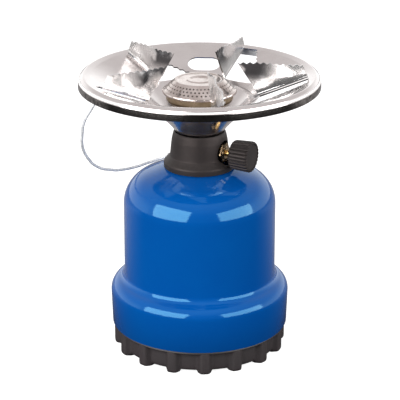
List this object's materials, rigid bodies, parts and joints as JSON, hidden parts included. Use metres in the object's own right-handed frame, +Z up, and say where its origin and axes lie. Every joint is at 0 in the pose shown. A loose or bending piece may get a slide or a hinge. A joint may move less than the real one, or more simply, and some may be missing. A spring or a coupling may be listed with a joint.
{
  "type": "camping stove",
  "caption": "Cartridge camping stove: screwed base cup, bell housing over a pierced gas can, side valve with ribbed knob, perforated burner cap and a pressed dish with upright pot blades.",
  "frame": {"origin": "centre of the base cup's underside, on the plane the stove stands on", "axes": "+Z up along the cartridge, +X along the valve spindle towards the knob's outer face"},
  "size_m": [0.146, 0.146, 0.182],
  "materials": {
    "black_plastic": "moulded black plastic with a fine satin grain",
    "white_plastic": "smooth white plastic",
    "painted_can": "plain painted tinplate",
    "blue_paint": "glossy blue enamel",
    "plated_steel": "zinc-plated steel",
    "seal_rubber": "black nitrile rubber",
    "valve_brass": "turned brass",
    "burner_steel": "pressed stainless steel",
    "dish_chrome": "bright chrome on pressed steel",
    "wire_steel": "thin steel rope in a clear sleeve"
  },
  "bodies": {
    "housing": {"bell_housing": "blue_paint", "thread_ring": "plated_steel", "cartridge_seal": "seal_rubber", "seal_cup": "plated_steel", "piercing_needle": "plated_steel", "clamp_nut": "valve_brass", "bell_gasket": "seal_rubber", "valve_body": "valve_brass", "gland_nut": "valve_brass", "gas_jet": "valve_brass", "mixing_tube": "valve_brass", "burner_bowl": "valve_brass", "flame_disc": "burner_steel", "burner_cap": "burner_steel", "collar_shroud": "black_plastic", "dish_nut": "valve_brass", "pan_dish": "dish_chrome", "tether_wire": "wire_steel", "dish_ferrule": "plated_steel", "collar_ferrule": "plated_steel"},
    "stem_ring": {"stem_seal": "seal_rubber"},
    "knob": {"valve_spindle": "valve_brass", "control_knob": "black_plastic"},
    "cartridge": {"cartridge": "painted_can"},
    "washer": {"slip_washer": "white_plastic"},
    "base": {"base_cup": "black_plastic"}
  },
  "joints": [
    {"name": "stem_feed", "type": "slide", "parent": "housing", "child": "stem_ring", "axis": [1, 0, 0], "range_m": [0, 0.00112]},
    {"name": "knob_turn", "type": "hinge", "parent": "stem_ring", "child": "knob", "pos_m": [0.028, 0, 0.12675], "axis": [1, 0, 0], "range_deg": [0, 540]},
    {"name": "cartridge_drop", "type": "slide", "parent": "housing", "child": "cartridge", "axis": [0, 0, -1], "range_m": [0, 0.11]},
    {"name": "base_feed", "type": "slide", "parent": "cartridge", "child": "washer", "axis": [0, 0, -1], "range_m": [0, 0.0081]},
    {"name": "base_turn", "type": "hinge", "parent": "washer", "child": "base", "pos_m": [0, 0, 0.005], "axis": [0, 0, -1], "range_deg": [0, 720]}
  ],
  "couplings": [
    {"joint": "stem_feed", "follows": "knob_turn", "m_per_rad": 0.000118},
    {"joint": "base_feed", "follows": "base_turn", "m_per_rad": 0.00063662}
  ]
}
